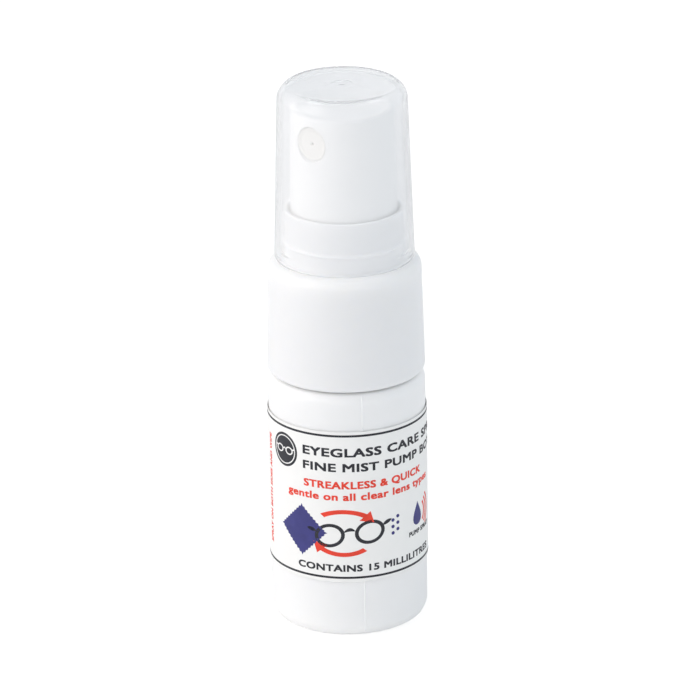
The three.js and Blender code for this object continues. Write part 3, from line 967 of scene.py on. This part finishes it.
def spectacles(s, z, lens, line, tilt=0.0):
    """Loops of a pair of oval spectacles, seen from the front."""
    loops = []
    reach = lens * 1.32
    squash = 0.82
    for side in (-1, 1):
        centre = s + side * reach
        loops.append(circle(centre, z, lens, 36, squash))
        loops.append(circle(centre, z, lens - line, 36, squash * 0.97))
    loops.append(swoosh((s - 0.36 * lens, z + 0.2 * lens), (s + 0.36 * lens, z + 0.2 * lens),
                        0.14 * lens, line * 0.9, 10))
    for side in (-1, 1):
        hinge = s + side * (reach + lens * 0.9)
        tip = hinge + side * lens * 0.62
        ends = ((hinge, z + 0.3 * lens), (tip, z + 0.52 * lens))
        if side < 0:
            ends = ends[::-1]
        loops.append(swoosh(*ends, 0.05, line, 8))
    return [[(a, b + tilt * (a - s)) for a, b in loop] for loop in loops]


def drop(s, z, size, points=36):
    """A water drop with its point up."""
    loop = []
    for k in range(points):
        angle = FULL_TURN * k / points
        pinch = math.sin(angle / 2) ** 1.5
        loop.append((s + size * math.sin(angle) * pinch * 0.86, z + size * math.cos(angle)))
    return loop


def diamond(s, z, reach, teeth=9):
    """A square cloth standing on one corner, with pinked edges."""
    corners = [(0, -1), (1, 0), (0, 1), (-1, 0)]
    loop = []
    for (s0, z0), (s1, z1) in zip(corners, corners[1:] + corners[:1]):
        for k in range(2 * teeth):
            t = k / (2 * teeth)
            out = reach * (0.94 if k % 2 else 1.0)
            loop.append((s + out * (s0 + (s1 - s0) * t), z + out * (z0 + (z1 - z0) * t)))
    return loop


def arc_band(s, z, radius, width, start, end):
    """A band of even width along an arc, from one angle to another in degrees."""
    angles = [math.radians(start + (end - start) * k / 20) for k in range(21)]
    outer = [(s + radius * math.cos(a), z + radius * math.sin(a)) for a in angles]
    inner = radius - width
    return outer + [(s + inner * math.cos(a), z + inner * math.sin(a)) for a in angles[::-1]]


def wipe_arrow(s, z, radius, spin):
    """A wide arc with a head on its leading end, above (s, z), or below it if spin is -1."""
    stretch = 1.5
    width = 0.7
    middle = radius - width / 2
    neck, tip, tail = 50, 26, 128  # degrees
    band = arc_band(0, 0, radius, width, neck, tail)
    head = []
    for reach, degrees in ((-0.95, neck + 1), (0, tip), (0.95, neck + 1)):
        angle = math.radians(degrees)
        head.append(((middle + reach) * math.cos(angle), (middle + reach) * math.sin(angle)))
    return [[(s + spin * stretch * a, z + spin * b) for a, b in loop] for loop in (band, head)]


def make_label():
    half = LABEL_LENGTH / 2
    sheet_loop = box_loop(-half, LABEL_Z, half, LABEL_TOP, 1.0)
    flat = flat_mesh(outline_curve([sheet_loop]), PAPER_OUT_R - PAPER_IN_R)
    label = finished("label_sheet", bent(flat, PAPER_IN_R), 60)
    install(label, "label", "bottle_body", "label_paper")


def make_print():
    black, red = Print("black", 0), Print("red", 0)
    blue, white = Print("blue", 0), Print("white", 1)
    rule = 0.36
    reach = LABEL_LENGTH / 2 - 0.4
    for z in (LABEL_Z + 0.72, LABEL_TOP - 0.66):
        black.shapes(box_loop(-reach, z - rule / 2, reach, z + rule / 2))

    black.words("EYEGLASS CARE SPRAY", s=-11.2, baseline=31.0, cap=1.45, width=30.5)
    black.words("FINE MIST PUMP BOTTLE", s=-11.2, baseline=28.5, cap=1.4, width=31.5)
    red.words("STREAKLESS & QUICK", s=-11.1, baseline=25.6, cap=1.25, width=21.4)
    red.words("gentle on all clear lens types", s=-14.3, baseline=23.65, cap=1.25, width=27.3)
    black.words("CONTAINS 15 MILLILITRES", s=-12.4, baseline=11.55, cap=1.15, width=25.4)
    side_words = "SPRAY ON BOTH SIDES AND WIPE"
    red.words(side_words, s=-19.4, baseline=13.2, cap=0.95, width=18.6, upright=True)

    emblem = (-15.1, 30.65)
    black.shapes(circle(*emblem, 2.8, 64))
    white.shapes(circle(*emblem, 2.4, 64), circle(*emblem, 2.22, 64))
    for loop_pair in paired(spectacles(*emblem, 0.82, 0.24)):
        white.shapes(*loop_pair)

    blue.shapes(diamond(-11.6, 18.0, 4.4))
    for loop_pair in paired(spectacles(-3.6, 17.9, 2.45, 0.6, 0.08)):
        black.shapes(*loop_pair)
    for spin in (1, -1):
        for loop in wipe_arrow(-4.6, 18.1, 4.0, spin):
            red.shapes(loop)
    for row in range(3):
        for column in range(2):
            blue.shapes(circle(3.6 + 0.95 * column, 19.4 - 1.1 * row + 0.5 * column, 0.3, 16))

    blue.shapes(drop(9.3, 18.9, 2.0))
    for k in range(3):
        red.shapes(arc_band(9.3, 18.7, 2.5 + 0.8 * k, 0.4, -42, 42))
    black.words("PUMP SPRAY", s=7.0, baseline=15.4, cap=0.8, width=6.6)

    black.words("HOW TO USE", s=22.0, baseline=31.0, cap=1.25, width=11.5)
    lines = (
        "Hold the bottle upright.",
        "Spray a fine mist on each",
        "side of the clean lens.",
        "Wipe gently from edge to",
        "edge with a soft cloth.",
        "Put the cap back on.",
    )
    for row, line in enumerate(lines):
        baseline = 28.4 - 2.0 * row
        black.words(line, s=22.0, baseline=baseline, cap=0.85, width=0.52 * len(line), heavy=0.02)
    black.words("15 ml", s=-33.0, baseline=30.4, cap=1.9, width=6.4)
    for loop_pair in paired(spectacles(-29.8, 25.2, 2.2, 0.42)):
        black.shapes(*loop_pair)
    blue.shapes(drop(-29.8, 18.6, 2.0))
    return [ink.finish() for ink in (black, red, blue, white)]


def paired(loops):
    """Spectacle loops grouped so that each rim keeps its hole."""
    yield loops[0:2]
    yield loops[2:4]
    for loop in loops[4:]:
        yield [loop]


# ---- studio -------------------------------------------------------------------------------


def direction(azimuth, elevation):
    """The way from the object to a camera or light. Azimuth 0 is -Y, and 90 is +X."""
    a, e = math.radians(azimuth), math.radians(elevation)
    return Vector((math.sin(a) * math.cos(e), -math.cos(a) * math.cos(e), math.sin(e)))


VIEW_AZIMUTH = -17.0
VIEW_ELEVATION = 21.288
VIEW_DISTANCE = 0.775
VIEW_ROLL = math.radians(-0.898)
VIEW_LENS = 253.6
TARGET_SIDE = 0.607
TARGET_Z = 44.057


def make_camera():
    back = direction(VIEW_AZIMUTH, VIEW_ELEVATION)
    right = direction(VIEW_AZIMUTH + 90, 0)
    target = right * TARGET_SIDE * MM + Vector((0, 0, TARGET_Z * MM))
    up = back.cross(right)
    tilted_right = right * math.cos(VIEW_ROLL) + up * math.sin(VIEW_ROLL)
    tilted_up = up * math.cos(VIEW_ROLL) - right * math.sin(VIEW_ROLL)
    lens = bpy.data.cameras.new("camera")
    lens.sensor_width = 36.0
    lens.lens = VIEW_LENS
    lens.clip_end = 20.0
    camera = new_object("camera", lens)
    turn = Matrix((tilted_right, tilted_up, back)).transposed().to_4x4()
    camera.matrix_world = Matrix.Translation(target + back * VIEW_DISTANCE) @ turn
    bpy.context.scene.camera = camera


def sheet(name, corners, look):
    mesh = bpy.data.meshes.new(name)
    mesh.from_pydata(corners, [], [tuple(range(len(corners)))])
    mesh.materials.append(look)
    piece = new_object(name, mesh)
    return piece


def glow(name, emission, albedo):
    """A matt surface that also shines evenly."""
    made = bpy.data.materials.new(name)
    made.use_nodes = True
    shader = made.node_tree.nodes["Principled BSDF"]
    shader.inputs["Base Color"].default_value = (albedo, albedo, albedo, 1)
    shader.inputs["Roughness"].default_value = 1.0
    shader.inputs["Specular IOR Level"].default_value = 0.0
    shader.inputs["Emission Color"].default_value = (1, 1, 1, 1)
    shader.inputs["Emission Strength"].default_value = emission
    return made


def only_camera(piece):
    piece.visible_diffuse = False
    piece.visible_glossy = False
    piece.visible_transmission = False
    piece.visible_shadow = False


LOBES = (  # azimuth, elevation, inner and outer half angle, colour added to the sky
    (-90, 18, 8, 52, (1.27, 1.15, 1.08)),
    (-109, 60, 4, 13, (2.4, 2.4, 2.4)),
    (84, 56, 4, 11, (1.9, 1.9, 1.9)),
    (0, 90, 10, 75, (-0.19, -0.19, -0.19)),
    (75, 5, 5, 60, (0.012, 0.045, 0.075)),
)
SKY = (0.807, 0.834, 0.863)


def make_sky():
    """Soft studio light: an even sky with a broad bright side on the left."""
    world = bpy.data.worlds.new("studio")
    bpy.context.scene.world = world
    world.use_nodes = True
    tree = world.node_tree
    background = tree.nodes["Background"]
    look = tree.nodes.new("ShaderNodeTexCoord").outputs["Generated"]
    total = None
    for azimuth, elevation, inner, outer, colour in LOBES:
        dot = tree.nodes.new("ShaderNodeVectorMath")
        dot.operation = "DOT_PRODUCT"
        link(tree, look, dot.inputs[0])
        dot.inputs[1].default_value = direction(azimuth, elevation)
        ramp = tree.nodes.new("ShaderNodeMapRange")
        ramp.interpolation_type = "SMOOTHSTEP"
        ramp.inputs["From Min"].default_value = math.cos(math.radians(outer))
        ramp.inputs["From Max"].default_value = math.cos(math.radians(inner))
        link(tree, dot.outputs["Value"], ramp.inputs["Value"])
        scaled = tree.nodes.new("ShaderNodeVectorMath")
        scaled.operation = "SCALE"
        scaled.inputs[0].default_value = colour
        link(tree, ramp.outputs["Result"], scaled.inputs["Scale"])
        added = tree.nodes.new("ShaderNodeVectorMath")
        added.operation = "ADD"
        added.inputs[1].default_value = SKY
        if total is not None:
            link(tree, total, added.inputs[1])
        link(tree, scaled.outputs["Vector"], added.inputs[0])
        total = added.outputs["Vector"]
    link(tree, total, background.inputs["Color"])


def make_stage():
    reach = 3.0
    floor_z = -0.00002
    bounce_z = -0.0002
    backdrop_r = 3.6  # inside the far limit of a camera moved to another side
    square = [(-reach, -reach), (reach, -reach), (reach, reach), (-reach, reach)]
    floor = sheet("floor", [(x, y, floor_z) for x, y in square], glow("pale_floor", 0.78, 0.32))
    only_camera(floor)
    bounce = sheet("bounce", [(x, y, bounce_z) for x, y in square], glow("bounce", 0.1, 0.8))
    bounce.visible_camera = False
    bm = bmesh.new()
    bmesh.ops.create_uvsphere(bm, u_segments=32, v_segments=16, radius=backdrop_r)
    mesh = bpy.data.meshes.new("backdrop")
    bm.to_mesh(mesh)
    bm.free()
    mesh.materials.append(glow("white_backdrop", 1.05, 0.0))
    backdrop = new_object("backdrop", mesh)
    only_camera(backdrop)


make_camera()
make_sky()
make_stage()
make_bottle()
make_label()
make_print()
make_collar()
make_overcap()
make_actuator()
make_nozzle()
make_pump()
make_stem()
make_ball()
make_spring()

bpy.context.scene.view_settings.view_transform = "Standard"
